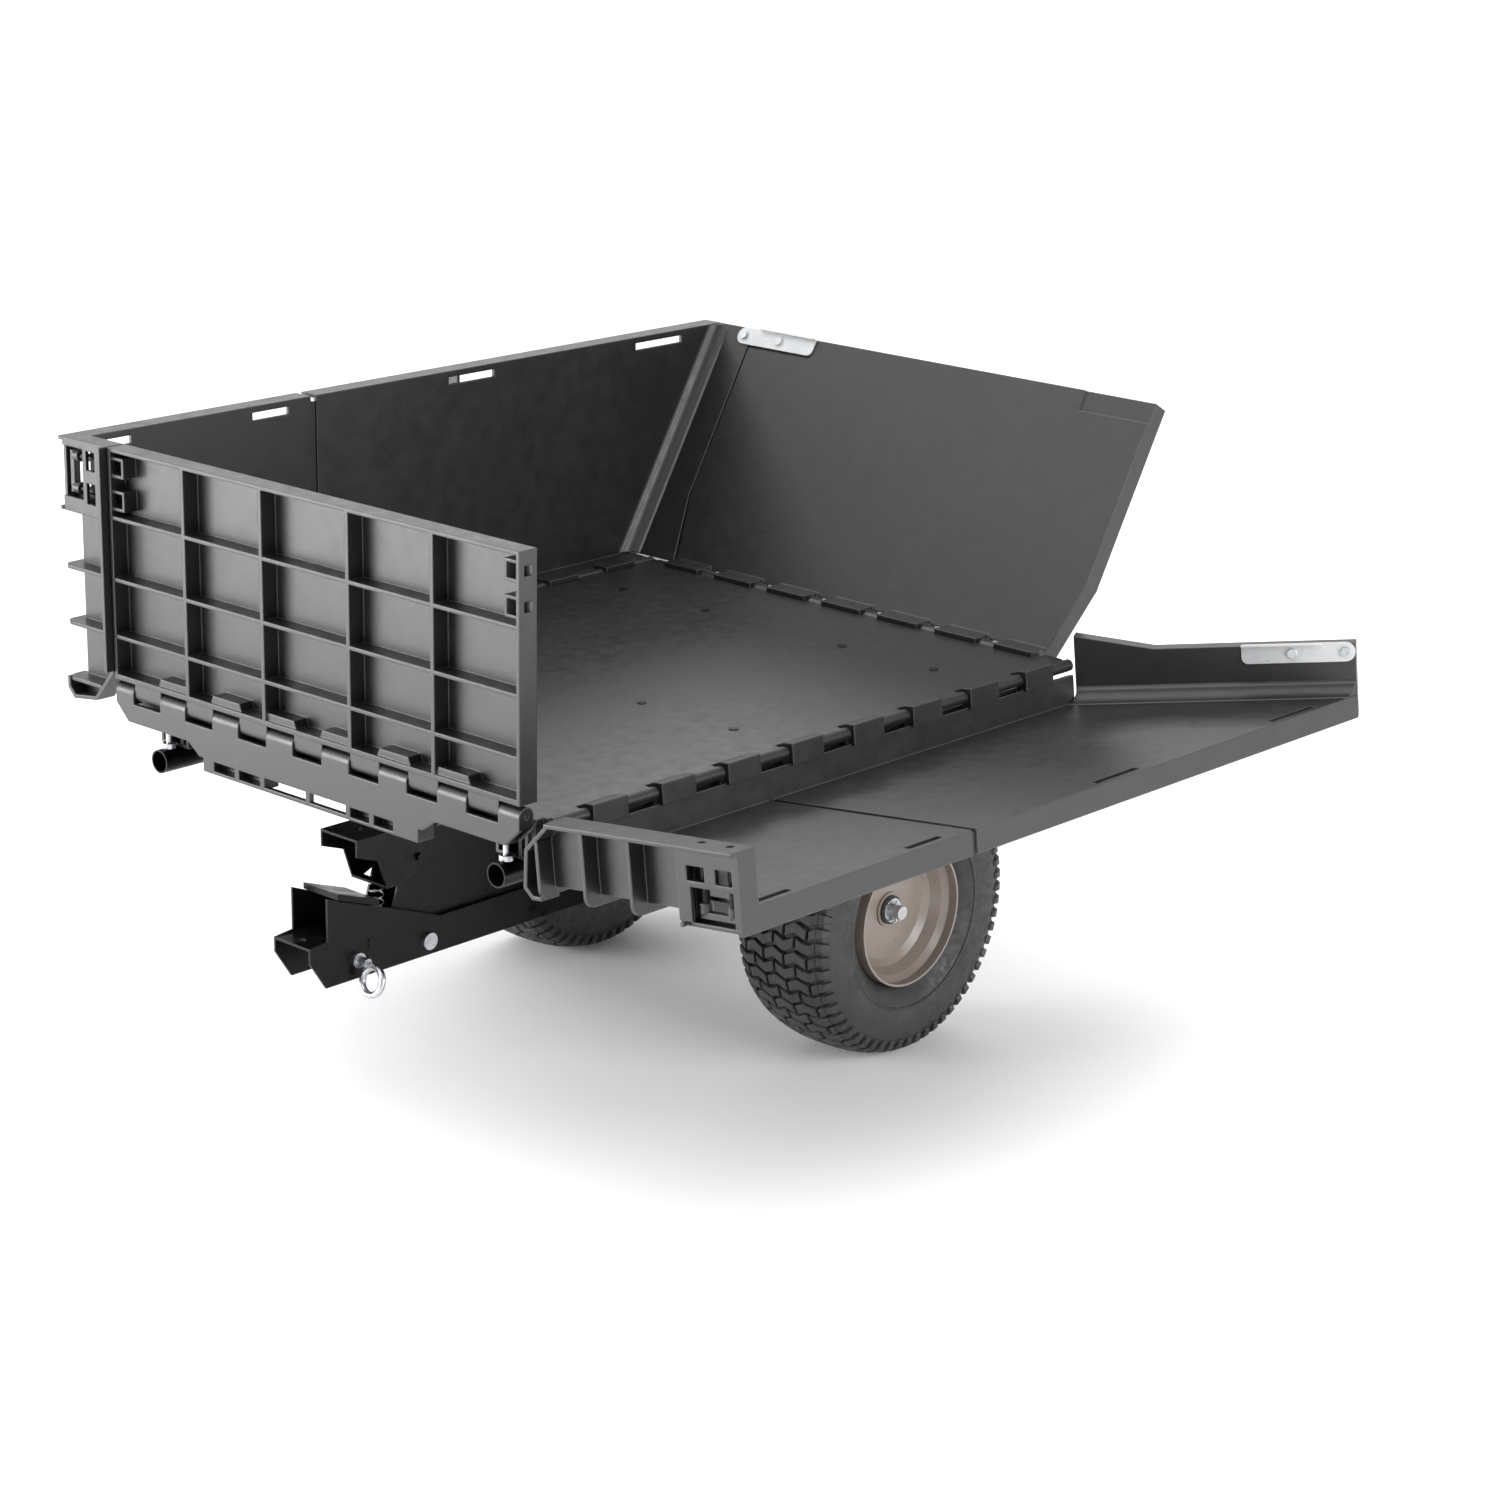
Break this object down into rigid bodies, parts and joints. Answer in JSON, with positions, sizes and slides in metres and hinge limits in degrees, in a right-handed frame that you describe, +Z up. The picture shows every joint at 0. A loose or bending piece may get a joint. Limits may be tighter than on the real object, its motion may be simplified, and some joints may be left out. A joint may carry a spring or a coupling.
{
  "type": "tow behind cart",
  "caption": "Two-wheeled tow-behind dump cart with a moulded bed whose walls fold flat, a steel tongue with pin hitch and a foot release.",
  "frame": {"origin": "centre of the vertical hitch pin hole, in the middle of the hitch plate's thickness", "axes": "+X forward towards the towing tractor, +Y to the cart's left, +Z up"},
  "size_m": [1.2955, 1.2337, 0.8521],
  "materials": {
    "poly": "moulded dark grey polyethylene",
    "black_steel": "black powder coat",
    "zinc": "bright zinc plate",
    "bracket_white": "light zinc-plated sheet",
    "rim_paint": "taupe painted steel",
    "tyre": "turf tread rubber",
    "latch_plastic": "moulded dark grey",
    "bushing": "black nylon"
  },
  "bodies": {
    "chassis": {"tongue": "black_steel", "hitch_strap": "black_steel", "latch_tower": "black_steel", "tongue_bolts": "zinc", "axle": "zinc", "axle_clamps": "black_steel", "axle_washers": "zinc", "cotter_pins": "zinc", "latch_spring": "zinc", "pedal_pin": "black_steel"},
    "keeper_pin": {"hitch_pin": "zinc", "hair_pin": "zinc"},
    "pedal": {"release_pedal": "black_steel"},
    "bed": {"bed_floor": "poly", "frame_tube_left": "black_steel", "frame_tube_right": "black_steel", "cross_channel_front": "black_steel", "cross_channel_middle": "black_steel", "cross_channel_rear": "black_steel", "axle_bracket_left": "black_steel", "axle_bracket_right": "black_steel", "pivot_bushings": "bushing", "hinge_rod_left": "zinc", "hinge_rod_right": "zinc", "hinge_rod_front": "zinc", "hinge_rod_rear": "zinc", "floor_bolts": "black_steel", "frame_bolts": "zinc", "catch_striker": "black_steel"},
    "front_wall": {"front_wall": "poly"},
    "tailgate": {"tailgate": "poly"},
    "left_wall": {"left_wall": "poly", "left_bracket_screw": "zinc"},
    "left_latch": {"left_latch_bolts": "black_steel", "left_latch_handle": "latch_plastic"},
    "left_bracket": {"left_corner_bracket": "bracket_white"},
    "left_wheel": {"left_tyre": "tyre", "left_rim_outer": "rim_paint", "left_rim_inner": "rim_paint", "left_hub": "rim_paint", "left_hub_bushings": "bushing", "left_valve_stem": "latch_plastic"},
    "right_wall": {"right_wall": "poly", "right_bracket_screw": "zinc"},
    "right_latch": {"right_latch_bolts": "black_steel", "right_latch_handle": "latch_plastic"},
    "right_bracket": {"right_corner_bracket": "bracket_white"},
    "right_wheel": {"right_tyre": "tyre", "right_rim_outer": "rim_paint", "right_rim_inner": "rim_paint", "right_hub": "rim_paint", "right_hub_bushings": "bushing", "right_valve_stem": "latch_plastic"}
  },
  "joints": [
    {"name": "bed_tilt", "type": "hinge", "parent": "chassis", "child": "bed", "pos_m": [-0.771, 0, -0.0675], "axis": [0, -1, 0], "range_deg": [0, 40]},
    {"name": "keeper_pin_turn", "type": "hinge", "parent": "chassis", "child": "keeper_pin", "pos_m": [-0.063, 0, -0.0315], "axis": [0, 1, 0], "range_deg": [-90, 90]},
    {"name": "pedal_press", "type": "hinge", "parent": "chassis", "child": "pedal", "pos_m": [-0.171, 0, 0.0815], "axis": [0, 1, 0], "range_deg": [0, 12], "stiffness_Nm_per_rad": 6, "springref_deg": -8.59, "deforming": ["latch_spring"]},
    {"name": "front_wall_fold", "type": "hinge", "parent": "bed", "child": "front_wall", "pos_m": [-0.028, 0, 0.2495], "axis": [0, 1, 0], "range_deg": [0, 84]},
    {"name": "tailgate_fold", "type": "hinge", "parent": "bed", "child": "tailgate", "pos_m": [-1.043, 0, 0.2395], "axis": [0, -1, 0], "range_deg": [0, 56]},
    {"name": "left_wall_fold", "type": "hinge", "parent": "bed", "child": "left_wall", "pos_m": [-0.771, 0.402, 0.2395], "axis": [1, 0, 0], "range_deg": [0, 83.2]},
    {"name": "right_wall_fold", "type": "hinge", "parent": "bed", "child": "right_wall", "pos_m": [-0.771, -0.402, 0.2395], "axis": [1, 0, 0], "range_deg": [0, 83.2]},
    {"name": "left_latch_slide", "type": "slide", "parent": "left_wall", "child": "left_latch", "axis": [0, -0.1184, 0.993], "range_m": [0, 0.016]},
    {"name": "right_latch_slide", "type": "slide", "parent": "right_wall", "child": "right_latch", "axis": [0, 1, 0], "range_m": [0, 0.016]},
    {"name": "left_bracket_swing", "type": "hinge", "parent": "left_wall", "child": "left_bracket", "pos_m": [-1.24848, 0.7238, 0.28593], "axis": [-0.859, -0.5084, -0.0606], "range_deg": [0, 90]},
    {"name": "right_bracket_swing", "type": "hinge", "parent": "right_wall", "child": "right_bracket", "pos_m": [-1.24848, -0.394, 0.56453], "axis": [-0.859, 0, -0.512], "range_deg": [0, 90]},
    {"name": "left_wheel_spin", "type": "hinge", "parent": "chassis", "child": "left_wheel", "pos_m": [-0.771, 0.295, -0.0675], "axis": [0, 1, 0], "continuous": true},
    {"name": "right_wheel_spin", "type": "hinge", "parent": "chassis", "child": "right_wheel", "pos_m": [-0.771, -0.295, -0.0675], "axis": [0, 1, 0], "continuous": true}
  ]
}
